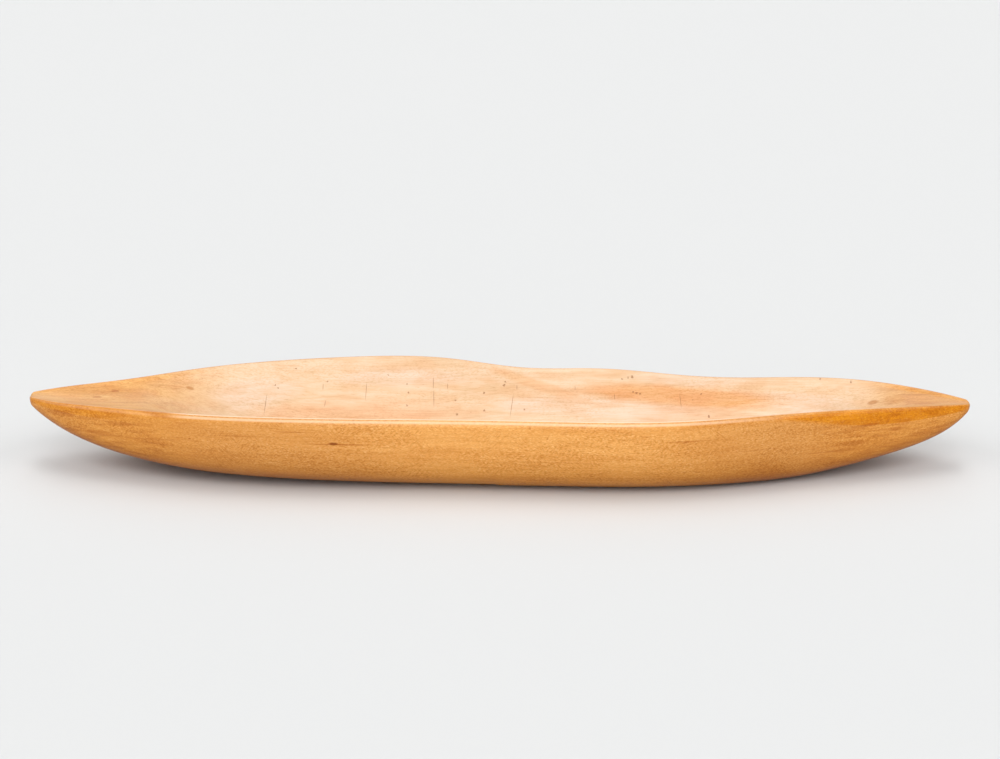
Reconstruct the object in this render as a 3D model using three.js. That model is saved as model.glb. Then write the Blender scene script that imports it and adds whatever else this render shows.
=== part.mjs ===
// Hand-carved wooden bowl: a long leaf-shaped vessel with two pointed ends and one wavy rim.
//
// Frame: millimetres, +X along the bowl from its left tip to its right tip, +Y towards the wavy rim, +Z up.
// The origin is the middle of the bowl's outline, on the plane that its foot stands on.
//
// The outside is shaped first: two rim lines and a keel line run from tip to tip, and every cross-section
// hangs between them. The hollow is then sunk between the rims, and the underside is planed flat as a foot.

import * as THREE from "three";

// Outline seen from above. The keel line is y = 0 while the bowl is shaped.
const LENGTH = 560;
const TIP_HALF_WIDTH = 4; // blunt end of each point
const LEAF_CORNER = 0.84; // 1 gives straight-sided points, less gives rounder ones

// Heights
const RIM_HEIGHT = 48.5; // of the straight rim at the middle of the bowl
const FAR_RIM_LIFT = 1.6; // by which the wavy rim stands higher there
const FOOT_PLANING = 2; // taken off the rounded underside to make the foot
const KEEL_BLEND = 3.2; // softness of the turn from the end slopes into the foot

// The two sides. A bay is a wave carved into a rim line at x: inset in plan and dipping in height, and a
// negative inset swells. A scarp is a steep step along the wall of the hollow, as a share of its height.
const NEAR = {
  reach: 67.6, // keel line to the rim where the bowl is widest, before its bays are cut
  fullness: { left: 3.7, right: 1.95 }, // higher keeps the rim parallel to the keel line for longer
  rimHeight: RIM_HEIGHT,
  sheerPower: 4.2, // higher keeps the rim level for longer before it falls to the tips
  bays: [
    { x: -233, spread: 43, inset: 4, dip: 0 },
    { x: 100, spread: 69, inset: -9, dip: 0 },
  ],
  arrisRound: 1.2, // length taken off the inner corner on each side
  basinFullness: 2.6, // exponent across the basin: higher is flatter in the floor and steeper in the wall
  scarps: [],
};
const FAR = {
  reach: 66.8,
  fullness: { left: 2.2, right: 3 },
  rimHeight: RIM_HEIGHT + FAR_RIM_LIFT,
  sheerPower: 2.42,
  bays: [
    { x: -233, spread: 43, inset: 10, dip: 0 },
    { x: 15.7, spread: 44.8, inset: 12.1, dip: 3 },
    { x: 122.6, spread: 79.4, inset: 19.8, dip: 5 },
  ],
  arrisRound: 3,
  basinFullness: 2.1,
  scarps: [
    { x: 108, spread: 46, share: 0.42 },
    { x: 34, spread: 24, share: 0.14 },
  ],
};
const BAY_FADE = 6; // power of the fade that takes the bays out before the tips

// The two ends, from the tip inwards
const LEFT_END = {
  rimHeight: 42.5, // at the tip
  noseDepth: 4.7, // from the tip's rim down to its underside
  slope: 0.05, // of the underside, which would meet the floor slopeRun from the tip
  slopeRun: 132,
  chinRun: 42.7, // stretch over which the underside steepens into the nose
  grooveStart: 5, // solid wood before the groove
};
const RIGHT_END = {
  rimHeight: 40.3,
  noseDepth: 3.4,
  slope: 0.24,
  slopeRun: 96,
  chinRun: 13.9,
  grooveStart: 12,
};
const NOSE_RADIUS = 2;

// Outer wall: superellipse exponents of the turn from the upright wall into the underside
const WALL_UPRIGHTNESS = 3.4;
const BILGE_FULLNESS = 3;

// Rim
const RIM_WIDTH = 4.6; // most width from the outer shoulder to the inner arris
const RIM_TIP_SHARE = 0.16; // of the side's reach that a rim takes where the points grow narrow
const RIM_FALL = 0.25; // the rim's top falls outwards by this share of its width
const SHOULDER_ROUND = 2.2; // length taken off the outer corner on each side
const BEVEL_HEIGHT = 3.6; // band under the rim that leans inwards
const BEVEL_LEAN = 0.27; // inward lean for each millimetre of height
const BEVEL_SWELLS = [
  { x: -232, spread: 30, height: 1.2 },
  { x: 230, spread: 36, height: 4.6 },
];
const BEVEL_MOST_SHARE = 0.35; // of the height of the section, where the tips leave little

// Hollow: a deep basin, and a shallow groove that runs on from it into each point
const FLOOR_THICKNESS = 12;
const FLOOR_RISES = [{ x: 105, spread: 70, height: 6 }];
const BASIN_LEFT = -212;
const BASIN_RIGHT = 246;
const BASIN_END_POWER = 3.6; // higher keeps the floor level for longer
const BASIN_END_BLEND = 1.35; // softness of the turn from the basin into the grooves
const BASIN_END_ROUND = 0.05; // share by which the basin is shorter along its walls than along its middle
const GROOVE_DEPTH = 3.2;
const GROOVE_RUN = 70; // length over which a groove reaches its depth
const GROOVE_FULLNESS = 1.5; // near V across the grooves
const GROOVE_BLEND = 3; // power by which the basin's fullness passes into the groove's
const SCARP_LINE = 0.86; // share of the way out to the wall's edge where a scarp stands
const SCARP_SOFTNESS = 0.03;

// Fineness of the surface
const END_STATIONS = 22;
const FOOT_STATIONS = 37;
const WALL_STEPS = 9;
const SHOULDER_STEPS = 3;
const ARRIS_STEPS = 2;
const HOLLOW_STEPS = 24;
const FOOT_END_ERROR = 1e-6;
const SLIVER = 1e-9; // keeps a section's size above 0 at the tips

const WOOD = { color: 0xd9a263, roughness: 0.38, metalness: 0 };

const HALF_LENGTH = LENGTH / 2;

/** Left or right end, whichever x belongs to. */
function endAt(x) {
  return x < 0 ? LEFT_END : RIGHT_END;
}

/** Sum of bell curves: each feature has a place, a spread and a value under the given name. */
function bells(x, features, value) {
  return features.reduce((sum, f) => sum + f[value] * Math.exp(-(((x - f.x) / f.spread) ** 2)), 0);
}

/** The limit approached smoothly: follows value while it is small, and never passes most. */
function easedLimit(value, most) {
  return most * Math.tanh(value / most);
}

/** 0 at the very tip and 1 beyond the nose radius, along a quarter circle. */
function noseRound(x) {
  const inwards = Math.min((HALF_LENGTH - Math.abs(x)) / NOSE_RADIUS, 1);
  return Math.sqrt(Math.max(1 - (1 - inwards) ** 2, 0));
}

/** Height of the middle of the nose. */
function noseHeight(x) {
  return endAt(x).rimHeight - endAt(x).noseDepth / 2;
}

/** A height drawn in to the middle of the nose over the nose radius. */
function towardsNose(x, height) {
  return noseHeight(x) + (height - noseHeight(x)) * noseRound(x);
}

/** One rim at x: its plan distance from the keel line and its height. */
function rimLine(x, side) {
  const share = Math.abs(x) / HALF_LENGTH;
  const fullness = x < 0 ? side.fullness.left : side.fullness.right;
  const leaf = (1 - share ** fullness) ** LEAF_CORNER;
  const fade = 1 - share ** BAY_FADE;
  const reach = TIP_HALF_WIDTH + (side.reach - TIP_HALF_WIDTH) * leaf - bells(x, side.bays, "inset") * fade;
  const sheer = (endAt(x).rimHeight - side.rimHeight) * share ** side.sheerPower;
  const height = side.rimHeight + sheer - bells(x, side.bays, "dip") * fade;
  return { reach: reach * noseRound(x), height: towardsNose(x, height) };
}

/** Height of the underside before the nose is rounded; below 0 it lies in the wood that is planed off. */
function keelHeight(x) {
  const end = endAt(x);
  const fromTip = HALF_LENGTH - Math.abs(x);
  const chin = end.rimHeight - end.noseDepth - end.slope * end.slopeRun;
  const straight = end.slope * (end.slopeRun - fromTip) + chin * Math.exp(-fromTip / end.chinRun);
  return KEEL_BLEND * Math.log1p(Math.exp((straight + FOOT_PLANING) / KEEL_BLEND)) - FOOT_PLANING;
}

/** Place on one side of the middle where the keel line comes down to the floor: the end of the foot. */
function footEnd(direction) {
  let inside = 0;
  let outside = HALF_LENGTH;
  while (outside - inside > FOOT_END_ERROR) {
    const middle = (inside + outside) / 2;
    if (keelHeight(direction * middle) < 0) inside = middle;
    else outside = middle;
  }
  return direction * outside;
}

/** Depth of the hollow below the lower rim, at x and at a share of the way across to either rim. */
function hollowDepth(x, across, rim) {
  const middle = (BASIN_LEFT + BASIN_RIGHT) / 2;
  const share = Math.abs(x - middle) / ((BASIN_RIGHT - BASIN_LEFT) / 2);
  const rounded = Math.min(share * (1 + BASIN_END_ROUND * across ** 2), 1);
  const basin = (1 - rounded ** BASIN_END_POWER) ** BASIN_END_BLEND;
  const fromTip = HALF_LENGTH - Math.abs(x);
  const run = Math.min(Math.max((fromTip - endAt(x).grooveStart) / GROOVE_RUN, 0), 1);
  const groove = GROOVE_DEPTH * (1 - (1 - run) ** 2);
  const floor = FLOOR_THICKNESS + bells(x, FLOOR_RISES, "height");
  return groove + (rim - floor - groove) * basin;
}

/** Quadratic curve that rounds the corner between two points. */
function roundedCorner(from, corner, to, steps) {
  return Array.from({ length: steps + 1 }, (_, i) => {
    const t = i / steps;
    return [0, 1].map((k) => (1 - t) ** 2 * from[k] + 2 * t * (1 - t) * corner[k] + t ** 2 * to[k]);
  });
}

/** Point on the way from a to b, at the given distance from a but at most halfway. */
function partWay(a, b, distance) {
  const length = Math.max(Math.hypot(b[0] - a[0], b[1] - a[1]), SLIVER);
  const share = Math.min(distance / length, 1 / 2);
  return [a[0] + (b[0] - a[0]) * share, a[1] + (b[1] - a[1]) * share];
}

/** Outer wall of one side as [distance from the keel line, height], from the foot up to the bevel. */
function wallProfile(reach, wallTop, keel) {
  const wallHeight = wallTop - keel;
  const cutByFoot = keel < 0;
  const footSine = cutByFoot ? (wallTop / wallHeight) ** (BILGE_FULLNESS / 2) : 1;
  const footAngle = Math.asin(footSine);
  const wall = Array.from({ length: WALL_STEPS }, (_, i) => {
    const angle = footAngle * (1 - i / WALL_STEPS);
    const out = i === 0 && !cutByFoot ? 0 : reach * Math.max(Math.cos(angle), 0) ** (2 / WALL_UPRIGHTNESS);
    return [out, wallTop - wallHeight * Math.sin(angle) ** (2 / BILGE_FULLNESS)];
  });
  return [...wall, [reach, wallTop]];
}

/** Rim of one side, from the outer shoulder over its top to the inner arris. */
function rimProfile(side, rim, wallTop) {
  const width = easedLimit(RIM_TIP_SHARE * rim.reach + SLIVER, RIM_WIDTH);
  const fall = RIM_FALL * width;
  const foot = [rim.reach, wallTop];
  const lean = BEVEL_LEAN * Math.max(rim.height - wallTop - fall, 0);
  const shoulder = [rim.reach - lean, rim.height - fall];
  const arris = [rim.reach - width, rim.height];
  const inwards = Math.min(side.arrisRound, arris[0] / 2);
  const intoHollow = [arris[0] - inwards, rim.height - (side.arrisRound * width) / RIM_WIDTH];
  const shoulderStart = partWay(shoulder, foot, SHOULDER_ROUND);
  const shoulderEnd = partWay(shoulder, arris, SHOULDER_ROUND);
  const arrisStart = partWay(arris, shoulder, side.arrisRound);
  return [
    ...roundedCorner(shoulderStart, shoulder, shoulderEnd, SHOULDER_STEPS),
    ...roundedCorner(arrisStart, arris, intoHollow, ARRIS_STEPS),
  ];
}

/** Outside and rim of one side, from the foot to the inner arris. */
function sideProfile(x, side, keel) {
  const rim = rimLine(x, side);
  const swollen = BEVEL_HEIGHT + bells(x, BEVEL_SWELLS, "height");
  const bevel = easedLimit(swollen, BEVEL_MOST_SHARE * (rim.height - keel) + SLIVER);
  const wallTop = rim.height - bevel;
  return [...wallProfile(rim.reach, wallTop, keel), ...rimProfile(side, rim, wallTop)];
}

/** Points across the hollow between the two inner edges, without those edges themselves. */
function hollowProfile(x, nearEdge, farEdge) {
  const rim = Math.min(nearEdge[1], farEdge[1]);
  const outwards = (Math.abs(x) / HALF_LENGTH) ** GROOVE_BLEND;
  return Array.from({ length: HOLLOW_STEPS - 1 }, (_, i) => {
    const across = -Math.cos((Math.PI * (i + 1)) / HOLLOW_STEPS);
    const [edge, side] = across < 0 ? [nearEdge, NEAR] : [farEdge, FAR];
    const floor = rim - hollowDepth(x, across, rim);
    const fullness = side.basinFullness + (GROOVE_FULLNESS - side.basinFullness) * outwards;
    const scarp = bells(x, side.scarps, "share");
    const step = 1 / (1 + Math.exp((SCARP_LINE - Math.abs(across)) / SCARP_SOFTNESS));
    const rise = (1 - scarp) * Math.abs(across) ** fullness + scarp * step;
    return [across * edge[0], floor + (edge[1] - floor) * rise];
  });
}

/** The whole cross-section at x as [y, z], from the foot's near edge over both rims to its far edge. */
function section(x) {
  const keel = towardsNose(x, keelHeight(x));
  const nearSide = sideProfile(x, NEAR, keel);
  const farSide = sideProfile(x, FAR, keel);
  return [
    ...nearSide.map(([out, z]) => [-out, z]),
    ...hollowProfile(x, nearSide.at(-1), farSide.at(-1)),
    ...farSide.reverse(),
  ];
}

/** Places of the cross-sections, closest together at the tips and at the ends of the foot. */
function stations() {
  const [footLeft, footRight] = [footEnd(-1), footEnd(1)];
  const leftEnd = Array.from({ length: END_STATIONS }, (_, i) => {
    const share = 1 - Math.cos((Math.PI / 2) * ((i + 1) / END_STATIONS));
    return -HALF_LENGTH + (footLeft + HALF_LENGTH) * share;
  });
  const foot = Array.from({ length: FOOT_STATIONS - 1 }, (_, i) => {
    const share = (i + 1) / FOOT_STATIONS;
    const gathered = (share + (1 - Math.cos(Math.PI * share)) / 2) / 2;
    return footLeft + (footRight - footLeft) * gathered;
  });
  const rightEnd = Array.from({ length: END_STATIONS }, (_, i) => {
    const share = 1 - Math.cos((Math.PI / 2) * (1 - i / END_STATIONS));
    return HALF_LENGTH + (footRight - HALF_LENGTH) * share;
  });
  return { places: [...leftEnd, ...foot, ...rightEnd], footLeft, footRight };
}

/** Skin over all cross-sections, closed by a point at each tip and by the flat foot below. */
function bowlGeometry() {
  const { places, footLeft, footRight } = stations();
  const positions = [];
  const addPoint = (x, y, z) => positions.push(x, y, z) / 3 - 1;

  const rings = places.map((x) => {
    const outline = section(x);
    const standsOnFoot = x > footLeft && x < footRight;
    const ring = outline.map(([y, z], i) => {
      const onFoot = standsOnFoot && (i === 0 || i === outline.length - 1);
      const sharedKeelPoint = !standsOnFoot && i === outline.length - 1;
      return sharedKeelPoint ? null : addPoint(x, y, onFoot ? 0 : Math.max(z, 0));
    });
    return ring.map((index) => index ?? ring[0]);
  });
  const leftTip = addPoint(-HALF_LENGTH, 0, noseHeight(-HALF_LENGTH));
  const rightTip = addPoint(HALF_LENGTH, 0, noseHeight(HALF_LENGTH));

  const faces = [];
  const addFace = (a, b, c) => {
    if (a !== b && b !== c && c !== a) faces.push(a, b, c);
  };
  const size = rings[0].length;
  for (let j = 0; j < size; j++) {
    const next = (j + 1) % size;
    addFace(leftTip, rings[0][j], rings[0][next]);
    addFace(rightTip, rings.at(-1)[next], rings.at(-1)[j]);
    for (let i = 0; i + 1 < rings.length; i++) {
      const [a, b] = [rings[i], rings[i + 1]];
      addFace(a[j], b[next], a[next]);
      addFace(a[j], b[j], b[next]);
    }
  }

  const geometry = new THREE.BufferGeometry();
  geometry.setAttribute("position", new THREE.Float32BufferAttribute(positions, 3));
  geometry.setIndex(faces);
  geometry.computeBoundingBox();
  const { min, max } = geometry.boundingBox;
  geometry.translate(-(min.x + max.x) / 2, -(min.y + max.y) / 2, 0);
  geometry.computeVertexNormals();
  return geometry;
}

const bowl = new THREE.Mesh(bowlGeometry(), new THREE.MeshStandardMaterial(WOOD));
bowl.name = "bowl";

const part = new THREE.Group();
part.add(bowl);

export default part;
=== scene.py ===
"""Looks of a hand-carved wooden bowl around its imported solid.

The bowl's surface is worked out again at a finer step, from the same rim lines, keel line and cross-sections
as the solid. X runs along the bowl to its right tip, Y towards the wavy rim and Z up. The foot stands on
Z = 0. Shapes are worked out in millimetres and made in metres.
"""

import math

import bpy
import numpy as np
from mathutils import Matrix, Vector


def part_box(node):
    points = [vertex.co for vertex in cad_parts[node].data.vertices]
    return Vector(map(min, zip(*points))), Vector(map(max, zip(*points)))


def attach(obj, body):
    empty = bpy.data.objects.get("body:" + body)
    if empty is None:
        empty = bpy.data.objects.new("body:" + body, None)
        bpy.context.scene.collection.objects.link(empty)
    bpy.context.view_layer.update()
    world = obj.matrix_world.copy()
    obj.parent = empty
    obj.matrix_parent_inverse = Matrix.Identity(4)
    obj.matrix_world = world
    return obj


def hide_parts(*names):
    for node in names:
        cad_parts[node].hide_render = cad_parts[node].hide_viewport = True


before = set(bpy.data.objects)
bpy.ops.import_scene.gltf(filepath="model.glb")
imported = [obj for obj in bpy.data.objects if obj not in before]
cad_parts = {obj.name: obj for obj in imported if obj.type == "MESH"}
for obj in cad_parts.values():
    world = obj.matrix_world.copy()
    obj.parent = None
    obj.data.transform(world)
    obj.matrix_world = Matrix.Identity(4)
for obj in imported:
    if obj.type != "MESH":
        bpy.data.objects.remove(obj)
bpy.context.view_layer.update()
MM = 0.001

# Outline seen from above. The keel line is y = 0 while the bowl is shaped. Pairs of values, here and below,
# are those of the left and right ends.
LENGTH = 560
NEAR_REACH = 67.6
FAR_REACH = 66.8
TIP_HALF_WIDTH = 4
LEAF_CORNER = 0.84
NEAR_FULLNESS = (3.7, 1.95)
FAR_FULLNESS = (2.2, 3.0)

# Waves in the rim lines as (x, spread, inset in plan, dip in height)
FAR_BAYS = [(-233, 43, 10, 0), (15.7, 44.8, 12.1, 3.0), (122.6, 79.4, 19.8, 5.0)]
NEAR_BAYS = [(-233, 43, 4, 0), (100, 69, -9, 0)]
BAY_FADE = 6

# Heights
NEAR_RIM_HEIGHT = 48.5
FAR_RIM_HEIGHT = 50.1
NEAR_SHEER_POWER = 4.2
FAR_SHEER_POWER = 2.42
FOOT_PLANING = 2
KEEL_BLEND = 3.2

# The two ends
TIP_RIM_HEIGHT = (42.5, 40.3)
NOSE_DEPTH = (4.7, 3.4)
NOSE_SLOPE = (0.05, 0.24)
NOSE_SLOPE_RUN = (132, 96)
CHIN_RUN = (42.7, 13.9)
NOSE_RADIUS = 2

# Outer wall and rim. Swells are (x, spread, height).
WALL_UPRIGHTNESS = 3.4
BILGE_FULLNESS = 3.0
RIM_WIDTH = 4.6
RIM_TIP_SHARE = 0.16
RIM_FALL = 0.25
SHOULDER_ROUND = 2.2
NEAR_ARRIS_ROUND = 1.2
FAR_ARRIS_ROUND = 3
BEVEL_HEIGHT = 3.6
BEVEL_LEAN = 0.27
BEVEL_SWELLS = [(-232, 30, 1.2), (230, 36, 4.6)]
BEVEL_MOST_SHARE = 0.35

# Hollow. Rises are (x, spread, height), and scarps (x, spread, strength).
FLOOR_THICKNESS = 12
FLOOR_RISES = [(105, 70, 6)]
BASIN_LEFT = -212
BASIN_RIGHT = 246
BASIN_END_POWER = 3.6
BASIN_END_BLEND = 1.35
BASIN_END_ROUND = 0.05
GROOVE_DEPTH = 3.2
GROOVE_RUN = 70
GROOVE_START = (5, 12)
NEAR_BASIN_FULLNESS = 2.6
FAR_BASIN_FULLNESS = 2.1
GROOVE_FULLNESS = 1.5
GROOVE_FULLNESS_POWER = 3
SCARPS = [(108, 46, 0.42), (34, 24, 0.14)]
SCARP_LINE = 0.86
SCARP_SOFTNESS = 0.03

# Fineness of the surface: stations from tip to tip, then the points of each stretch of a cross-section
STATIONS = 420
WALL_STEPS = 36
BEVEL_STEPS = 5
SHOULDER_STEPS = 7
LAND_STEPS = 4
ARRIS_STEPS = 7
HOLLOW_STEPS = 118

# Masks round a cross-section, in points of it: how far the hollow's mask fades in, and the painted highlight
# lines on the shoulder and arris of the rim as (distance at which the line ends, distance over which it
# fades)
HOLLOW_FADE = 3
SHOULDER_LINE = (3, 2)
SHOULDER_LINE_STRENGTH = 0.47
ARRIS_LINE = (5.95, 3.5)

HALF_LENGTH = LENGTH / 2
TINY = 1e-9


# Shape of the bowl, worked out for an array x of stations

def bells(x, features, value):
    """Sum of bell curves, one for each feature (x, spread, ...), with its height at the given index."""
    return sum(feature[value] * np.exp(-(((x - feature[0]) / feature[1]) ** 2)) for feature in features)


def by_end(x, pair):
    """The left end's value left of the middle, and the right end's right of it."""
    return np.where(x < 0, *pair)


def eased_limit(value, most):
    """Follows value while it is small, and never passes most."""
    return most * np.tanh(value / most)


def nose_round(x):
    """0 at the very tip and 1 beyond the nose radius, along a quarter circle."""
    inwards = np.minimum((HALF_LENGTH - np.abs(x)) / NOSE_RADIUS, 1)
    return np.sqrt(np.maximum(1 - (1 - inwards) ** 2, 0))


def rim_line(x, widest, fullness, middle_height, sheer_power, bays):
    """Distance of one rim from the keel line, and its height."""
    share = np.abs(x) / HALF_LENGTH
    leaf = (1 - share ** by_end(x, fullness)) ** LEAF_CORNER
    fade = 1 - share**BAY_FADE
    reach = TIP_HALF_WIDTH + (widest - TIP_HALF_WIDTH) * leaf - bells(x, bays, 2) * fade
    sheer = (by_end(x, TIP_RIM_HEIGHT) - middle_height) * share**sheer_power
    height = middle_height + sheer - bells(x, bays, 3) * fade
    return reach * nose_round(x), towards_nose(x, height)


def towards_nose(x, height):
    """A height drawn in to the middle of the nose over the nose radius."""
    nose = by_end(x, TIP_RIM_HEIGHT) - by_end(x, NOSE_DEPTH) / 2
    return nose + (height - nose) * nose_round(x)


def keel_line(x):
    """Height of the underside; below 0 it lies in the wood that is planed off for the foot."""
    from_tip = HALF_LENGTH - np.abs(x)
    slope, run = by_end(x, NOSE_SLOPE), by_end(x, NOSE_SLOPE_RUN)
    chin = by_end(x, TIP_RIM_HEIGHT) - by_end(x, NOSE_DEPTH) - slope * run
    unblended = slope * (run - from_tip) + chin * np.exp(-from_tip / by_end(x, CHIN_RUN))
    blended = KEEL_BLEND * np.log1p(np.exp((unblended + FOOT_PLANING) / KEEL_BLEND)) - FOOT_PLANING
    return towards_nose(x, blended)


def hollow_depth(x, across, rim):
    """Depth of the hollow below the lower rim, at stations x and shares across of the way to the rims."""
    middle = (BASIN_LEFT + BASIN_RIGHT) / 2
    share = np.abs(x - middle) / ((BASIN_RIGHT - BASIN_LEFT) / 2)
    rounded = np.minimum(share * (1 + BASIN_END_ROUND * across**2), 1)
    basin = (1 - rounded**BASIN_END_POWER) ** BASIN_END_BLEND
    run = np.clip((HALF_LENGTH - np.abs(x) - by_end(x, GROOVE_START)) / GROOVE_RUN, 0, 1)
    groove = GROOVE_DEPTH * (1 - (1 - run) ** 2)
    floor = FLOOR_THICKNESS + bells(x, FLOOR_RISES, 2)
    return groove + (rim - floor - groove) * basin


def straight(start, end, steps):
    """Points from start up to, but not including, end, for every station."""
    share = (np.arange(steps) / steps)[None, :, None]
    return start[:, None] * (1 - share) + end[:, None] * share


def corner(start, apex, end, steps):
    """Quadratic curve that rounds the corner at apex, for every station."""
    share = np.linspace(0, 1, steps + 1)[None, :, None]
    left = 1 - share
    return left**2 * start[:, None] + 2 * share * left * apex[:, None] + share**2 * end[:, None]


def part_way(start, end, distance):
    """The point at the given distance from start towards end, but at most halfway."""
    length = np.maximum(np.linalg.norm(end - start, axis=1), TINY)
    return start + (end - start) * np.minimum(distance / length, 0.5)[:, None]


def side_profile(x, keel, reach, rim, arris_round):
    """Outer wall and rim of one side, from foot to inner arris, as (distance from the keel line, height)."""
    bevel = eased_limit(BEVEL_HEIGHT + bells(x, BEVEL_SWELLS, 2), BEVEL_MOST_SHARE * (rim - keel) + TINY)
    width = eased_limit(RIM_TIP_SHARE * reach + TINY, RIM_WIDTH)
    fall = RIM_FALL * width

    wall_top = rim - bevel
    wall_height = np.maximum(wall_top - keel, TINY)
    below = np.where(keel < 0, wall_top / wall_height, 1)
    foot_angle = np.arcsin(np.minimum(below, 1) ** (BILGE_FULLNESS / 2))
    angle = foot_angle[:, None] * (1 - np.arange(WALL_STEPS) / WALL_STEPS)
    out = reach[:, None] * np.maximum(np.cos(angle), 0) ** (2 / WALL_UPRIGHTNESS)
    out[:, 0] = np.where(keel < 0, out[:, 0], 0)
    height = wall_top[:, None] - wall_height[:, None] * np.sin(angle) ** (2 / BILGE_FULLNESS)
    wall = np.stack([out, height], axis=2)

    top = np.stack([reach, wall_top], axis=1)
    shoulder = np.stack([reach - BEVEL_LEAN * np.maximum(bevel - fall, 0), rim - fall], axis=1)
    arris = np.stack([reach - width, rim], axis=1)
    drop = arris_round * width / RIM_WIDTH
    sunk = np.stack([arris[:, 0] - np.minimum(arris_round, arris[:, 0] / 2), rim - drop], axis=1)
    shoulder_start = part_way(shoulder, top, SHOULDER_ROUND)
    shoulder_end = part_way(shoulder, arris, SHOULDER_ROUND)
    arris_start = part_way(arris, shoulder, arris_round)
    return np.concatenate([
        wall,
        straight(top, shoulder_start, BEVEL_STEPS),
        corner(shoulder_start, shoulder, shoulder_end, SHOULDER_STEPS)[:, :-1],
        straight(shoulder_end, arris_start, LAND_STEPS),
        corner(arris_start, arris, sunk, ARRIS_STEPS),
    ], axis=1)


def hollow_profile(x, near_edge, far_edge):
    """Points across the hollow between its two edges, without the edges."""
    across = -np.cos(math.pi * np.arange(1, HOLLOW_STEPS) / HOLLOW_STEPS)[None, :]
    rim = np.minimum(near_edge[:, 1], far_edge[:, 1])[:, None]
    floor = rim - hollow_depth(x[:, None], across, rim)
    outwards = (np.abs(x) / HALF_LENGTH) ** GROOVE_FULLNESS_POWER
    near_fullness = NEAR_BASIN_FULLNESS + (GROOVE_FULLNESS - NEAR_BASIN_FULLNESS) * outwards
    far_fullness = FAR_BASIN_FULLNESS + (GROOVE_FULLNESS - FAR_BASIN_FULLNESS) * outwards
    near = across < 0
    edge = np.where(near[..., None], near_edge[:, None], far_edge[:, None])
    power = np.where(near, near_fullness[:, None], far_fullness[:, None])
    share = np.abs(across)
    scarp = np.where(near, 0, bells(x, SCARPS, 2)[:, None])
    rise = (1 - scarp) * share**power + scarp / (1 + np.exp((SCARP_LINE - share) / SCARP_SOFTNESS))
    return np.stack([across * edge[..., 0], floor + (edge[..., 1] - floor) * rise], axis=2)


def bowl_grid():
    """Points of the surface as (station, ring point, xyz), and whether each station stands on the foot."""
    x = HALF_LENGTH * np.sin(np.linspace(-math.pi / 2, math.pi / 2, STATIONS))
    keel = keel_line(x)
    near_rim = rim_line(x, NEAR_REACH, NEAR_FULLNESS, NEAR_RIM_HEIGHT, NEAR_SHEER_POWER, NEAR_BAYS)
    far_rim = rim_line(x, FAR_REACH, FAR_FULLNESS, FAR_RIM_HEIGHT, FAR_SHEER_POWER, FAR_BAYS)
    near = side_profile(x, keel, *near_rim, NEAR_ARRIS_ROUND)
    far = side_profile(x, keel, *far_rim, FAR_ARRIS_ROUND)
    hollow = hollow_profile(x, near[:, -1], far[:, -1])
    yz = np.concatenate([near * (-1, 1), hollow, far[:, ::-1]], axis=1)
    yz[..., 1] = np.maximum(yz[..., 1], 0)
    places = np.broadcast_to(x[:, None, None], (*yz.shape[:2], 1))
    return np.concatenate([places, yz], axis=2), keel < 0


def ring_line(away, end, fade):
    """1 near a line round the bowl, fading to 0 at its end."""
    return np.clip((end - np.abs(away)) / fade, 0, 1)


def ring_masks():
    """How far each ring point belongs to the hollow, the bevel, the painted highlight lines on the rim's
    edges and the underside.
    """
    shoulder = WALL_STEPS + BEVEL_STEPS
    land = shoulder + SHOULDER_STEPS
    arris = land + LAND_STEPS
    ring = np.arange(2 * (arris + ARRIS_STEPS + 1) + HOLLOW_STEPS - 1)
    inwards = np.minimum(ring, ring[::-1])
    hollow = np.clip((inwards - arris) / HOLLOW_FADE, 0, 1)
    above_wall = np.clip(inwards - WALL_STEPS + 1, 0, 1)
    bevel = above_wall * np.clip(1 - (inwards - shoulder) / SHOULDER_STEPS, 0, 1)
    # Painted highlight lines along the rim's shoulder and inner arris
    on_shoulder = ring_line(inwards - shoulder - SHOULDER_STEPS / 2, *SHOULDER_LINE)
    on_arris = ring_line(inwards - arris - ARRIS_STEPS / 2, *ARRIS_LINE)
    edges = np.maximum(SHOULDER_LINE_STRENGTH * on_shoulder, on_arris)
    under = np.clip(1 - inwards / WALL_STEPS, 0, 1)
    return hollow, bevel, edges, under


def bowl_mesh(name):
    """The bowl's closed skin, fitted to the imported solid's box."""
    points, on_foot = bowl_grid()
    stations, ring_size, _ = points.shape
    low, high = points.reshape(-1, 3).min(axis=0), points.reshape(-1, 3).max(axis=0)
    box_low, box_high = (np.array(limit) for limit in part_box("bowl"))
    points = box_low + (points - low) / (high - low) * (box_high - box_low)

    # Off the foot, a ring starts and ends in one keel point, and each tip is a single point
    index = np.arange(stations * ring_size).reshape(stations, ring_size)
    index[~on_foot, -1] = index[~on_foot, 0]
    index[0] = index[0, 0]
    index[-1] = index[-1, 0]
    following = np.roll(index, -1, axis=1)
    quads = np.stack([index[:-1], index[1:], following[1:], following[:-1]], axis=2).reshape(-1, 4)
    faces = [list(dict.fromkeys(quad)) for quad in quads.tolist()]
    faces = [face for face in faces if len(face) > 2]
    used, compact = np.unique(np.concatenate([np.array(face) for face in faces]), return_inverse=True)
    ends = np.cumsum([len(face) for face in faces])[:-1]
    faces = [face.tolist() for face in np.split(compact, ends)]

    mesh = bpy.data.meshes.new(name)
    mesh.from_pydata(points.reshape(-1, 3)[used].tolist(), [], faces)
    for label, mask in zip(("hollow", "bevel", "edges", "under"), ring_masks()):
        attribute = mesh.attributes.new(label, "FLOAT", "POINT")
        attribute.data.foreach_set("value", np.tile(mask, stations)[used].astype(np.float32))
    mesh.polygons.foreach_set("use_smooth", [True] * len(mesh.polygons))
    mesh.update()
    return mesh


# Share of a spot's size that is full, before it fades outwards
SPOT_CORE = 0.45


def colour(rgb):
    return (*rgb, 1)


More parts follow.
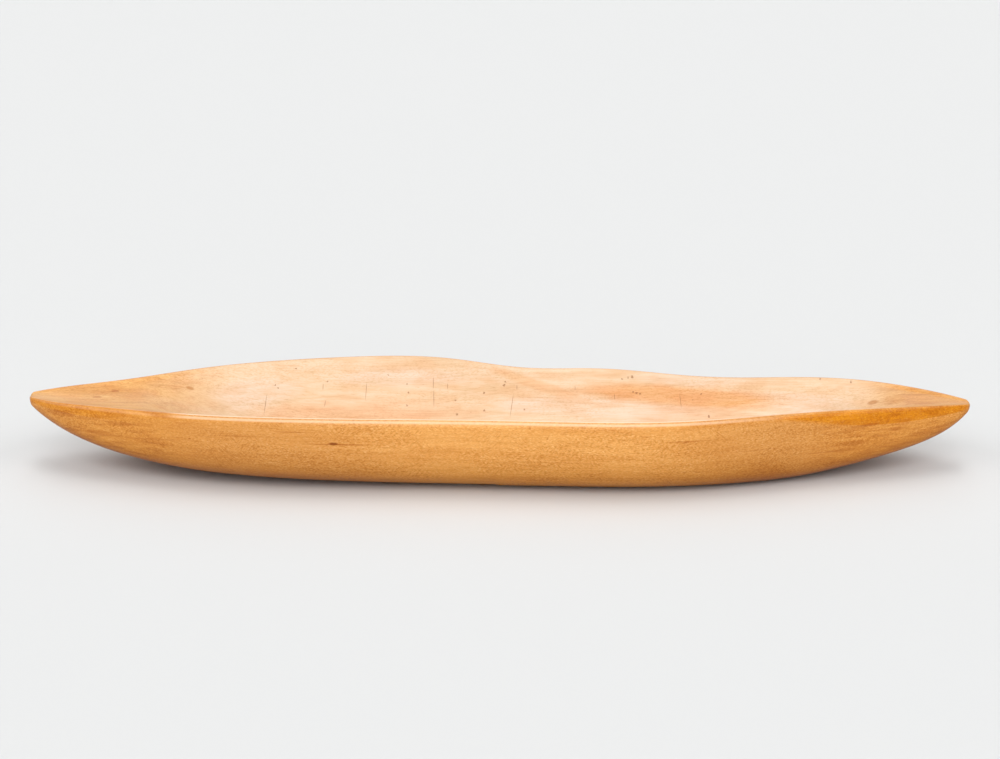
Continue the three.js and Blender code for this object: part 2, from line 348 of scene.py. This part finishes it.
class Shader:
    """Node tree of one material. A value may be a number, a tuple or the output of another node."""

    def __init__(self, name):
        self.material = bpy.data.materials.new(name)
        self.material.use_nodes = True
        self.tree = self.material.node_tree

    def feed(self, socket, value):
        if isinstance(value, bpy.types.NodeSocket):
            self.tree.links.new(value, socket)
        else:
            socket.default_value = value

    def finish(self, tone, values):
        """Feeds the surface its colour, and its other values by the names of their sockets."""
        surface = self.tree.nodes["Principled BSDF"]
        for socket, value in {"Base Color": tone, **values}.items():
            self.feed(surface.inputs[socket], value)

    def node(self, kind, values, **settings):
        """New node with its settings, and its input sockets, by name or number, fed from values."""
        node = self.tree.nodes.new("ShaderNode" + kind)
        for setting, choice in settings.items():
            setattr(node, setting, choice)
        for socket, value in values.items():
            self.feed(node.inputs[socket], value)
        return node

    def attribute(self, name):
        return self.node("Attribute", {}, attribute_name=name).outputs["Fac"]

    def math(self, operation, *values):
        return self.node("Math", dict(enumerate(values)), operation=operation).outputs[0]

    def linear(self, value, slope, start):
        """Value times slope, plus start."""
        return self.math("MULTIPLY_ADD", value, slope, start)

    def inverse(self, mask):
        return self.math("SUBTRACT", 1, mask)

    def vector(self, operation, *values):
        return self.node("VectorMath", dict(enumerate(values)), operation=operation).outputs[0]

    def length(self, vector):
        return self.node("VectorMath", {0: vector}, operation="LENGTH").outputs["Value"]

    def parts(self, vector):
        return self.node("SeparateXYZ", {0: vector}).outputs

    def combined(self, x, y, z):
        return self.node("CombineXYZ", {0: x, 1: y, 2: z}).outputs[0]

    def step(self, value, start, end, top=1):
        """Smooth step from 0 at start to top at end."""
        values = {0: value, 1: start, 2: end, 3: 0, 4: top}
        return self.node("MapRange", values, interpolation_type="SMOOTHSTEP").outputs[0]

    def noise(self, place, size, detail):
        """Noise from 0 to 1 whose features are about size long in each direction."""
        stretched = self.vector("DIVIDE", place, size)
        return self.node("TexNoise", {"Vector": stretched, "Scale": 1, "Detail": detail}).outputs[0]

    def pattern(self, place, size, detail, start, end):
        """Patches of 1 in 0, cut out of a noise by a smooth step."""
        return self.step(self.noise(place, size, detail), start, end)

    def strongest(self, masks):
        """Greatest of the masks at each place."""
        total = masks[0]
        for mask in masks[1:]:
            total = self.math("MAXIMUM", total, mask)
        return total

    def product(self, *masks):
        """Product of all the masks, which may be numbers too."""
        total = masks[0]
        for mask in masks[1:]:
            total = self.math("MULTIPLY", total, mask)
        return total

    def spot(self, place, centre, size):
        """1 within a stretched round spot, fading to 0 at its edge."""
        away = self.vector("DIVIDE", self.vector("SUBTRACT", place, centre), size)
        return self.step(self.length(away), 1, SPOT_CORE)

    def spots(self, place, rows):
        """Strongest of several spots, each with its strength if it has one."""
        return self.strongest([
            self.product(self.spot(place, centre, size), *strength) for centre, size, *strength in rows
        ])

    def blend(self, mask, below, above, how):
        values = {0: mask, 6: below, 7: above}
        return self.node("Mix", values, data_type="RGBA", blend_type=how).outputs[2]


# Camera: a long lens from in front, a little above the table. Distances are in metres, angles in degrees,
# and the lens and sensor in millimetres.
CAMERA_DISTANCE = 1.7
CAMERA_ELEVATION = 17
CAMERA_AZIMUTH = 0.9
CAMERA_LENS = 102.95
CAMERA_SENSOR = 36
CAMERA_CLIP_END = 100
CAMERA_AIM = Vector((0.0007, 0.0040, 0.0528))

# Studio: soft lamps far away, which light the floor evenly. Azimuth 0 is the camera's side.
FLOOR_SIZE = 60
FLOOR_COLOUR = (0.615, 0.62, 0.62)
BACKDROP_COLOUR = (0.87, 0.87, 0.875)
ROOM_STRENGTH = 0.06
# Lamps as (name, elevation, azimuth, width seen from the bowl, strength), with all angles in degrees
LAMPS = [
    ("front", 35, 0, 36, 1.66),
    ("front_left", 35, -50, 40, 0.81),
    ("front_right", 35, 50, 40, 0.81),
    ("low_front", 12, 0, 22, 0.48),
    ("left", 35, -90, 40, 0.4),
    ("right", 35, 90, 40, 0.4),
    ("back", 45, 180, 40, 0.5),
    ("low_back", 18, 180, 32, 0.3),
    ("top", 90, 0, 24, 0.68),
    ("top_front", 70, 0, 24, 0.27),
    ("top_back", 70, 180, 24, 0.45),
]


def add_object(name, data):
    added = bpy.data.objects.new(name, data)
    bpy.context.scene.collection.objects.link(added)
    return added


def direction(azimuth, elevation):
    """Unit vector towards a place round the bowl, from angles in degrees."""
    round_bowl, above_floor = math.radians(azimuth), math.radians(elevation)
    level = math.cos(above_floor)
    return Vector((math.sin(round_bowl) * level, -math.cos(round_bowl) * level, math.sin(above_floor)))


def add_camera():
    view = bpy.data.cameras.new("camera")
    view.lens = CAMERA_LENS
    view.sensor_width = CAMERA_SENSOR
    view.clip_end = CAMERA_CLIP_END
    camera = add_object("camera", view)
    back = direction(CAMERA_AZIMUTH, CAMERA_ELEVATION)
    camera.location = CAMERA_AIM + back * CAMERA_DISTANCE
    camera.rotation_euler = back.to_track_quat("Z", "Y").to_euler()
    bpy.context.scene.camera = camera


def add_floor():
    half = FLOOR_SIZE / 2
    corners = [(-half, -half, 0), (half, -half, 0), (half, half, 0), (-half, half, 0)]
    mesh = bpy.data.meshes.new("floor")
    mesh.from_pydata(corners, [], [(0, 1, 2, 3)])
    floor = add_object("floor", mesh)
    paint = Shader("floor")
    paint.finish(colour(FLOOR_COLOUR), {"Roughness": 1, "Specular IOR Level": 0})
    mesh.materials.append(paint.material)


def add_lamps():
    for name, elevation, azimuth, width, strength in LAMPS:
        light = bpy.data.lights.new(name, "SUN")
        light.energy = strength
        light.angle = math.radians(width)
        lamp = add_object(name, light)
        lamp.rotation_euler = direction(azimuth, elevation).to_track_quat("Z", "Y").to_euler()


def add_room():
    """Faint light from all round, and the pale backdrop that the camera sees beyond the floor."""
    world = bpy.data.worlds.new("room")
    bpy.context.scene.world = world
    world.use_nodes = True
    nodes, links = world.node_tree.nodes, world.node_tree.links
    nodes.clear()
    backdrop = nodes.new("ShaderNodeBackground")
    backdrop.inputs["Color"].default_value = colour(BACKDROP_COLOUR)
    room = nodes.new("ShaderNodeBackground")
    room.inputs["Strength"].default_value = ROOM_STRENGTH
    path = nodes.new("ShaderNodeLightPath")
    mix = nodes.new("ShaderNodeMixShader")
    output = nodes.new("ShaderNodeOutputWorld")
    links.new(path.outputs["Is Camera Ray"], mix.inputs[0])
    links.new(room.outputs[0], mix.inputs[1])
    links.new(backdrop.outputs[0], mix.inputs[2])
    links.new(mix.outputs[0], output.inputs[0])


# Wood. Places and sizes in the material are in millimetres of the bowl's frame.
OUTER_TONE = (0.70, 0.335, 0.09)
INNER_TONE = (0.68, 0.49, 0.338)
BAND_TONE_AND_SHADE = (0.58, 0.205, 0.008)
EDGE_HIGHLIGHT_TONE = (0.84, 0.63, 0.45)
SPECKLE_STAIN = (0.78, 0.655, 0.43)
STREAK_STAIN = (0.70, 0.50, 0.30)
MARK_STAIN = (0.42, 0.28, 0.16)

# Layers over the outer tone, from the first to the last, as (mask, strength, way of blending, colour). A
# multiplied layer scales the colour under it, a covering layer replaces it; painted shade and highlights are
# marked.
MULTIPLIED = "MULTIPLY"
COVERING = "MIX"
LAYERS = [
    ("hollow", 1, COVERING, INNER_TONE),
    # Painted shade: the outer wall more orange towards both ends, where less light falls
    ("outer_ends", 1, MULTIPLIED, (1, 0.94, 0.72)),
    # Painted shade: the outer wall darker away from its middle, towards both ends
    ("outer_side_shade", 1, MULTIPLIED, (0.86, 0.81, 0.75)),
    # Partly painted shade: the bevel band's own golden tone, darker and more orange where its facet catches
    # no sheen
    ("band", 1, COVERING, BAND_TONE_AND_SHADE),
    ("rings", 0.35, MULTIPLIED, (0.86, 0.77, 0.60)),
    ("fibres", 0.55, MULTIPLIED, (0.86, 0.79, 0.66)),
    ("clouds", 0.55, MULTIPLIED, (0.90, 0.82, 0.68)),
    ("peach", 0.6, MULTIPLIED, (0.97, 0.86, 0.76)),
    ("outer_speckle", 1, MULTIPLIED, SPECKLE_STAIN),
    ("glints", 1, MULTIPLIED, (1.10, 1.27, 1.72)),
    ("curl", 0.7, MULTIPLIED, SPECKLE_STAIN),
    ("inner_speckle", 1, MULTIPLIED, SPECKLE_STAIN),
    ("scarp_and_end_speckle", 0.3, MULTIPLIED, SPECKLE_STAIN),
    ("inner_end_streaks", 0.4, MULTIPLIED, STREAK_STAIN),
    # Painted sheen: paler, less orange spots on the far wall of the hollow where it faces the lamps
    ("sheen_patches", 1, MULTIPLIED, (1, 1.03, 1.13)),
    ("pores", 0.6, MULTIPLIED, (0.72, 0.58, 0.40)),
    # Painted shade: darker and more orange on the steep scarp of the far wall, where it catches less light
    # and sheen
    ("scarp_shade", 1, MULTIPLIED, (0.94, 0.69, 0.41)),
    # Painted shade: warmer and darker low on the far wall of the hollow, near its floor
    ("low_wall_shade", 1, MULTIPLIED, (0.96, 0.80, 0.66)),
    # Partly painted shade: the hollow's ends more orange, their own tone deepened where they catch less
    # sheen
    ("inner_ends", 1, MULTIPLIED, (0.97, 0.71, 0.32)),
    ("outer_brown_streaks", 0.42, MULTIPLIED, STREAK_STAIN),
    ("outer_pale_streaks", 0.4, MULTIPLIED, (1.18, 1.28, 1.45)),
    # Painted shade: the lower outer wall darker and less blue where it turns under towards the floor, more
    # so towards the ends (this layer and the next)
    ("underside", 1, MULTIPLIED, (0.80, 0.66, 0.20)),
    ("underside_ends", 1, MULTIPLIED, (0.85, 0.73, 0.40)),
    ("wall_streaks", 1, MULTIPLIED, STREAK_STAIN),
    ("wall_knot", 0.75, MULTIPLIED, MARK_STAIN),
    ("fans", 0.3, MULTIPLIED, STREAK_STAIN),
    ("knot_eye", 1, MULTIPLIED, (1.04, 1.14, 1.3)),
    ("knots", 0.8, MULTIPLIED, STREAK_STAIN),
    ("pits_and_scratches", 0.8, MULTIPLIED, MARK_STAIN),
    # Painted highlights: pale lines along the shoulder and arris of the near rim
    ("edges", 0.95, COVERING, EDGE_HIGHLIGHT_TONE),
]

# Surface, where the fibres make the wood rougher, as (rise with the fibres, least roughness)
ROUGHNESS = (0.16, 0.34)
SPECULAR_LEVEL = 0.08
COAT_WEIGHT = 0.25
COAT_ROUGHNESS = 0.22
BUMP_STRENGTH = 0.2
BUMP_DEPTH = 0.2
PORE_DEPTH = 0.5

# Noises as (size of the features along x, y and z, detail)
FIBRES = ((30, 0.9, 0.8), 3)
RING_WANDER = ((110, 60, 60), 2)
PIT_OUTLINE = ((0.9, 0.9, 0.9), 2)

# Patterns cut out of a noise, as (size of the features, detail, noise where the mask starts, noise where it
# is full)
RINGS = ((1, 1, 1), 3, 0.42, 0.68)
CLOUDS = ((60, 26, 7), 4, 0.44, 0.66)
PEACH = ((16, 9, 5), 3, 0.42, 0.64)
PATCHES = ((60, 30, 16), 1, 0.38, 0.6)
SPECKLE = ((1.7, 0.8, 0.66), 1, 0.48, 0.66)
GLINTS = ((1.5, 0.7, 0.6), 1, 0.52, 0.68)
PORES = ((3.2, 0.45, 0.45), 1, 0.68, 0.76)
CURL = ((1.05, 3, 2.6), 1, 0.46, 0.64)
CURL_TURNS = ((9, 9, 5), 1, 0.4, 0.6)
CURL_PATCHES = ((34, 30, 12), 2, 0.4, 0.66)
BROWN_STREAKS = ((56, 6, 2.2), 2, 0.46, 0.66)
PALE_STREAKS = ((52, 6, 2.4), 2, 0.46, 0.66)
BAND_SPECKLE = ((2.4, 1.2, 1.2), 2, 0.2, 0.5)
FAN_RAYS = ((1, 1, 1), 3, 0.45, 0.62)

# Shifts that keep two patterns of one kind apart
GLINT_SHIFT = (7, 3, 5)
PALE_STREAK_SHIFT = (11, 5, 3)

# Growth rings: where the pith lies in y and z, how far they wander, and their features' run along x
PITH = (20, -190)
RING_WIDTH = 3.4
RING_WANDER_DISTANCE = 16
RING_RUN = 320

# Lean of the ripples across the grain, as x over z
CURL_LEAN = 0.8

# Strength of one pattern where another lies under it, as (rise with the other, least). The speckle and the
# glints go by the patches, the painted scarp shade by the fibres, and the band by its own speckle.
OUTER_SPECKLE_SHARE = (0.4, 0.4)
INNER_SPECKLE_SHARE = (0.3, 0.05)
GLINT_SHARE = (0.3, 0.7)
SCARP_SHADE_SHARE = (0.6, 0.7)
BAND_SHARE = (0.45, 0.55)

# Smooth steps as (start, end, top), where the top is 1 if left out. Those along the bowl are in x, and the
# band's right one in x + BAND_SLANT * z.
FIBRE_STEP = (0.42, 0.7)
BEVEL_STEP = (0.3, 0.5)
UNDER_STEP = (0.1, 0.8)
NEAR_HALF = (0, -5)
FAR_HALF = (0, 5)
INNER_ENDS = [(-148, -222), (208, 250)]
OUTER_ENDS = [(-150, -215), (165, 215)]
# Where the painted shade of the outer wall and its underside sets in towards the ends
SIDES = [(-30, -125), (80, 160)]
BAND_SLANT = 5
BAND_RIGHT = (382, 400)
BAND_LEFT = (-204, -236, 0.6)
# Where the painted highlight lines along the near rim run
EDGE_MIDDLE = [(-196, -176), (190, 100)]
EDGE_LEFT = (-190, -210, 0.2)

# Spots as (centre, size, strength), where the strength is 1 if left out
WALL_KNOT = ((-94, 0, 34), (3.2, 1, 1))
KNOT_EYE = ((-235.5, 6, 0), (4.5, 3, 1))
# Painted sheen on the far wall of the hollow, as paler spots
SHEEN_PATCHES = [
    ((70, 34, 27), (80, 60, 7)), ((180, 30, 32), (44, 60, 6)), ((118, 38, 43), (48, 60, 6)),
    ((-150, 45, 34), (36, 60, 9)), ((-60, 50, 39), (50, 60, 6)), ((22, 42, 27), (30, 60, 5.5)),
]
# Painted shade low on the far wall of the hollow, as warmer, darker spots
LOW_WALL_SHADE = [((-110, 30, 18), (124, 60, 13)), ((122, 28, 23), (50, 60, 6), 0.6)]

# Painted shade on the hollow's far wall: its steep scarp and the sweep leading to it, both falling to the
# right
SCARP_SHADE = ((110, 37, 36.4), (80, 60, 7.4))
SCARP_SHADE_FALL = 0.03
SWEEP = ((25, 37, 43.6), (40, 60, 4))
SWEEP_FALL = 0.27
SWEEP_STRENGTH = 0.45

# Scratches across the far wall of the hollow, from (x, z) to (x, z)
SCRATCHES = [
    ((-141.5, 34), (-142, 24.5)),
    ((-108, 37), (-108, 33)),
    ((-106, 29), (-106.5, 25.5)),
    ((-81.5, 37.5), (-82, 27)),
    ((-41, 40), (-40.7, 32.5)),
    ((-40.6, 33.5), (-40, 23.5)),
    ((-32, 36.5), (-32, 33)),
    ((10.4, 37.5), (10.4, 34.5)),
    ((8.5, 33.5), (6.2, 20)),
    ((45.8, 37.5), (45.8, 34.5)),
    ((69.6, 33.5), (70, 29.5)),
    ((109, 35.5), (110.3, 26)),
]
SCRATCH_WIDTH = 0.45
SCRATCH_CORE = 0.5

# Pits in the same wall as (x, z, radius)
PITS = [
    (-137, 37, 0.6), (-135, 35.5, 0.5), (-125, 44.5, 0.5), (-105.5, 37.5, 0.6), (-68.5, 40, 0.5),
    (-57, 35.5, 0.6), (-56, 31.3, 0.6), (-56.5, 25.3, 0.6), (-27, 28, 0.6), (-25.9, 21.7, 0.7),
    (-9.6, 32.3, 0.7), (-9.2, 24, 0.7), (2.6, 36.8, 0.9), (3.3, 38.6, 0.6), (15, 25, 0.5),
    (74.4, 41.1, 0.6), (78, 41.8, 0.7), (80.6, 42.3, 1), (81, 34.4, 0.6), (83, 33.8, 0.8),
    (85.3, 33.5, 0.7), (117, 31.3, 0.5), (122, 34.8, 0.6), (126.5, 24, 0.8), (194.2, 43, 0.6),
    (212.6, 42.4, 0.8),
]
PIT_RAGGEDNESS = 2.2

# Streaks along the grain of the outer wall as (x, z, length, height, strength)
STREAKS = [
    (-94, 34, 8, 2.6, 1), (-92, 33.6, 44, 1.3, 0.7), (-118, 40.6, 24, 1.3, 0.5),
    (-178, 33.6, 1.8, 1.2, 0.9), (108, 36.8, 34, 1.4, 0.6), (107.5, 36.3, 4, 1.3, 0.7),
    (29, 39, 1.6, 2.2, 0.7), (19, 45, 1.4, 2, 0.7), (37.8, 42.1, 5, 2, 0.3),
    (85, 40.5, 9, 1.6, 0.4), (233, 31.5, 9, 1.2, 0.6), (-246, 31, 9, 0.9, 0.6),
    (190, 22, 32, 1.3, 0.5), (-200, 28, 26, 1.3, 0.35), (-150, 37, 30, 1.4, 0.3),
    (40, 24, 60, 1.4, 0.25), (150, 28, 40, 1.4, 0.3), (217, 36.5, 16, 2.4, 0.55),
    (226, 32.6, 30, 1.6, 0.5), (-258, 38, 26, 4, 0.6), (-233, 30, 22, 5, 0.45),
    (-222, 38, 34, 1.8, 0.4),
]

# Knots in the floor of the hollow as (x, y, radius), drawn out along the grain
KNOTS = [(-240, 4.4, 2.4), (-230.5, 13.5, 2), (-187, 26.2, 2), (224, 17, 2.6)]
KNOT_STRETCH = 1.6

# Fans of grain as (x, y, run), which open along the run. The spread is the reach along and beside it.
FANS = [(-187, 26.2, -14), (223, 16, 20)]
FAN_SPREAD = (1.2, 0.8)
FAN_RAYS_PER_RADIAN = 5
FAN_RAY_LENGTH = 26


class Wood(Shader):
    """The bowl's wood, with the places, parts and patterns that several of its layers share."""

    def __init__(self, name):
        super().__init__(name)
        metres = self.node("TexCoord", {}).outputs["Object"]
        self.place = self.node("VectorMath", {0: metres, "Scale": 1 / MM}, operation="SCALE").outputs[0]
        self.x, self.y, self.z = self.parts(self.place)
        self.wall_place = self.combined(self.x, 0, self.z)
        self.floor_place = self.combined(self.x, self.y, 0)

        self.in_hollow = self.attribute("hollow")
        self.outside = self.inverse(self.in_hollow)
        self.near_half = self.step(self.y, *NEAR_HALF)
        self.far_wall = self.product(self.in_hollow, self.step(self.y, *FAR_HALF))
        self.inner_ends = self.runs(INNER_ENDS)
        self.outer_ends = self.runs(OUTER_ENDS)
        self.sides = self.runs(SIDES)

        self.fibres = self.noise(self.place, *FIBRES)
        self.pores = self.pattern(self.place, *PORES)
        self.patches = self.pattern(self.place, *PATCHES)
        self.speckle = self.pattern(self.place, *SPECKLE)
        self.brown_streaks = self.pattern(self.place, *BROWN_STREAKS)

    def runs(self, steps):
        """Strongest of several smooth steps along the bowl."""
        return self.strongest([self.step(self.x, *run) for run in steps])

    def rings(self):
        """Growth rings, which lie round the pith far below the bowl and wander along the plank."""
        wander = self.math("MULTIPLY", self.noise(self.place, *RING_WANDER), RING_WANDER_DISTANCE)
        from_pith = self.vector("MULTIPLY", self.vector("SUBTRACT", self.place, (0, *PITH)), (0, 1, 1))
        ring = self.math("DIVIDE", self.math("ADD", self.length(from_pith), wander), RING_WIDTH)
        return self.pattern(self.combined(ring, self.math("DIVIDE", self.x, RING_RUN), 0), *RINGS)

    def curl(self):
        """Ripples across the grain, which lean one way in some places and the other way in the rest."""
        one_way, other_way = (
            self.pattern(self.combined(self.linear(self.z, lean, self.x), self.y, self.z), *CURL)
            for lean in (CURL_LEAN, -CURL_LEAN)
        )
        turns = self.pattern(self.place, *CURL_TURNS)
        elsewhere = self.inverse(turns)
        ripples = self.strongest([self.product(one_way, turns), self.product(other_way, elsewhere)])
        return self.product(ripples, self.pattern(self.place, *CURL_PATCHES))

    def falling(self, fall):
        """Places in which lines that fall to the right lie level."""
        return self.combined(self.x, self.y, self.linear(self.x, fall, self.z))

    def scratch(self, start, end):
        """Thin line over the wall of the hollow, pointed at both ends."""
        start, end = Vector((start[0], 0, start[1])), Vector((end[0], 0, end[1]))
        middle, half = (start + end) / 2, (end - start) / 2
        turn = (0, math.atan2(half.x, half.z), 0)
        size = (SCRATCH_WIDTH / 2, 1, half.length)
        values = {"Vector": self.wall_place, "Location": middle, "Rotation": turn, "Scale": size}
        across = self.node("Mapping", values, vector_type="TEXTURE").outputs[0]
        return self.step(self.length(across), 1, SCRATCH_CORE)

    def pits(self):
        """Small holes with ragged sides."""
        moved = self.math("SUBTRACT", self.x, PIT_RAGGEDNESS / 2)
        ragged_x = self.linear(self.noise(self.place, *PIT_OUTLINE), PIT_RAGGEDNESS, moved)
        ragged = self.combined(ragged_x, 0, self.z)
        return self.spots(ragged, [((x, 0, z), (radius, 1, radius)) for x, z, radius in PITS])

    def fan(self, x, y, run):
        """Streaks of grain that spread from a knot towards one end of the bowl."""
        from_knot = self.vector("SUBTRACT", self.floor_place, (x, y, 0))
        along, beside, _ = self.parts(from_knot)
        angle = self.math("ARCTAN2", beside, self.math("ABSOLUTE", along))
        away = self.math("DIVIDE", self.length(from_knot), FAN_RAY_LENGTH)
        rays = self.combined(self.math("MULTIPLY", angle, FAN_RAYS_PER_RADIAN), away, 0)
        size = (abs(run) * FAN_SPREAD[0], abs(run) * FAN_SPREAD[1], 1)
        reach = self.spot(self.floor_place, (x + run, y, 0), size)
        return self.product(self.pattern(rays, *FAN_RAYS), reach)

    def band(self):
        """Golden band on the bevel of the near rim at both ends, with a slanting start at the right; the
        facet's own tone, darkened with painted shade where it catches no sheen.
        """
        slanting = self.linear(self.z, BAND_SLANT, self.x)
        run = self.strongest([self.step(slanting, *BAND_RIGHT), self.step(self.x, *BAND_LEFT)])
        on_bevel = self.step(self.attribute("bevel"), *BEVEL_STEP)
        speckle = self.linear(self.pattern(self.place, *BAND_SPECKLE), *BAND_SHARE)
        return self.product(on_bevel, run, self.near_half, speckle)

    def edges(self):
        """Painted highlight lines along the edges of the near rim, faint towards the left tip."""
        middle = self.product(*(self.step(self.x, *run) for run in EDGE_MIDDLE))
        run = self.strongest([middle, self.step(self.x, *EDGE_LEFT)])
        return self.product(self.attribute("edges"), self.near_half, run)

    def outer_masks(self):
        """Masks of the layers on the outside, before they are cut off at the hollow."""
        glints = self.pattern(self.vector("ADD", self.place, GLINT_SHIFT), *GLINTS)
        pale_streaks = self.pattern(self.vector("ADD", self.place, PALE_STREAK_SHIFT), *PALE_STREAKS)
        underneath = self.step(self.attribute("under"), *UNDER_STEP)
        return {
            # Painted shade towards the ends of the outer wall
            "outer_ends": self.outer_ends,
            "outer_side_shade": self.sides,
            "outer_speckle": self.product(self.speckle, self.linear(self.patches, *OUTER_SPECKLE_SHARE)),
            "glints": self.product(glints, self.linear(self.patches, *GLINT_SHARE)),
            "curl": self.curl(),
            "outer_brown_streaks": self.product(self.outer_ends, self.brown_streaks),
            "outer_pale_streaks": self.product(self.outer_ends, pale_streaks),
            # Painted shade on the underside, stronger towards the ends
            "underside": underneath,
            "underside_ends": self.product(underneath, self.sides),
        }

    def near_wall_masks(self):
        """Masks of the marks on the near outer wall, before they are cut off at its edges."""
        streaks = [
            ((x, 0, z), (length / 2, 1, height / 2), strength)
            for x, z, length, height, strength in STREAKS
        ]
        return {
            "wall_streaks": self.spots(self.wall_place, streaks),
            "wall_knot": self.spot(self.wall_place, *WALL_KNOT),
        }

    def hollow_masks(self, scarp_shade):
        """Masks of the layers in the hollow, before they are cut off at its edge."""
        knots = [((x, y, 0), (KNOT_STRETCH * radius, radius, 1)) for x, y, radius in KNOTS]
        return {
            "peach": self.pattern(self.place, *PEACH),
            "inner_speckle": self.product(self.speckle, self.linear(self.patches, *INNER_SPECKLE_SHARE)),
            "scarp_and_end_speckle": self.product(self.speckle, self.strongest([scarp_shade, self.inner_ends])),
            "inner_end_streaks": self.product(self.brown_streaks, self.inner_ends),
            "inner_ends": self.inner_ends,
            "fans": self.strongest([self.fan(*fan) for fan in FANS]),
            "knot_eye": self.spot(self.floor_place, *KNOT_EYE),
            "knots": self.spots(self.floor_place, knots),
        }

    def far_wall_masks(self, scarp_shade):
        """Masks of the layers on the far wall of the hollow, before they are cut off at its edges."""
        # The sweep of the painted shade, leading down to the scarp
        sweep = self.math("MULTIPLY", self.spot(self.falling(SWEEP_FALL), *SWEEP), SWEEP_STRENGTH)
        scratches = [self.scratch(start, end) for start, end in SCRATCHES]
        return {
            # Painted sheen
            "sheen_patches": self.spots(self.place, SHEEN_PATCHES),
            "scarp_shade": self.strongest([scarp_shade, sweep]),
            "low_wall_shade": self.spots(self.place, LOW_WALL_SHADE),
            "pits_and_scratches": self.strongest([self.pits(), *scratches]),
        }

    def masks(self):
        """Where each layer lies, by the names in the table of layers."""
        # Painted shade on the steep scarp of the far wall, broken up by the fibres
        scarp_shade_spot = self.spot(self.falling(SCARP_SHADE_FALL), *SCARP_SHADE)
        scarp_shade = self.product(scarp_shade_spot, self.linear(self.fibres, *SCARP_SHADE_SHARE))
        masks = {
            "hollow": self.in_hollow,
            "band": self.band(),
            "rings": self.rings(),
            "fibres": self.step(self.fibres, *FIBRE_STEP),
            "clouds": self.pattern(self.place, *CLOUDS),
            "pores": self.pores,
            "edges": self.edges(),
        }
        near_wall = self.product(self.outside, self.near_half)
        for part, in_part in (
            (self.outside, self.outer_masks()),
            (near_wall, self.near_wall_masks()),
            (self.in_hollow, self.hollow_masks(scarp_shade)),
            (self.far_wall, self.far_wall_masks(scarp_shade)),
        ):
            masks.update({name: self.product(mask, part) for name, mask in in_part.items()})
        return masks


def wood_material():
    wood = Wood("oiled_wood")
    masks = wood.masks()
    tone = colour(OUTER_TONE)
    for name, strength, how, paint in LAYERS:
        tone = wood.blend(wood.product(masks[name], strength), tone, colour(paint), how)
    relief = wood.math("SUBTRACT", wood.fibres, wood.math("MULTIPLY", wood.pores, PORE_DEPTH))
    bump = wood.node("Bump", {"Strength": BUMP_STRENGTH, "Distance": BUMP_DEPTH * MM, "Height": relief})
    wood.finish(tone, {
        "Roughness": wood.linear(wood.fibres, *ROUGHNESS),
        "Normal": bump.outputs[0],
        "Specular IOR Level": SPECULAR_LEVEL,
        "Coat Weight": COAT_WEIGHT,
        "Coat Roughness": COAT_ROUGHNESS,
    })
    return wood.material


def build():
    bpy.context.scene.view_settings.view_transform = "Standard"
    add_camera()
    add_floor()
    add_lamps()
    add_room()
    mesh = bowl_mesh("carved_bowl")
    mesh.materials.append(wood_material())
    bowl = add_object("carved_bowl", mesh)
    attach(bowl, "root")
    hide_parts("bowl")


build()
